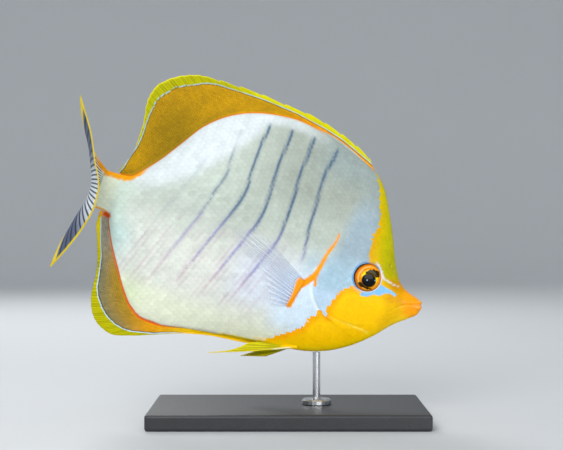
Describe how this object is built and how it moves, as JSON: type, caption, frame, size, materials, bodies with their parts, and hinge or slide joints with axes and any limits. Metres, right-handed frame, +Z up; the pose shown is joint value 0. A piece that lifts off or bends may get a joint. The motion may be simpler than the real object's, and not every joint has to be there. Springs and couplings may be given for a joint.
{
  "type": "yellowhead butterflyfish display model",
  "caption": "Life-size still model of a yellowhead butterflyfish, nose down with its tail bent to the right, on a plain flat stand with one rod.",
  "frame": {"origin": "centre of the stand base's underside, where the part rests", "axes": "+Z up; +X towards the fish's snout seen from above; the fish's right side faces -Y"},
  "size_m": [0.1628, 0.072, 0.1521],
  "materials": {
    "skin_white": "satin painted scales",
    "skin_yellow": "satin painted scales",
    "fin_orange": "satin, ribbed by its rays",
    "fin_grey": "satin, ribbed by its rays",
    "fin_clear": "clear web with pale rays",
    "fin_yellow": "satin, ribbed by its rays",
    "eye": "wet gloss",
    "stand_paint": "black satin lacquer",
    "stand_steel": "brushed"
  },
  "bodies": {
    "root": {"head": "skin_yellow", "trunk": "skin_white", "tail_stalk": "skin_white", "caudal_fin": "fin_grey", "dorsal_fin": "fin_orange", "anal_fin": "fin_orange", "pectoral_fin_right": "fin_clear", "pectoral_fin_left": "fin_clear", "pelvic_fin_right": "fin_yellow", "pelvic_fin_left": "fin_yellow", "eye_right": "eye", "eye_left": "eye", "stand_base": "stand_paint", "stand_rod": "stand_steel"}
  },
  "joints": []
}
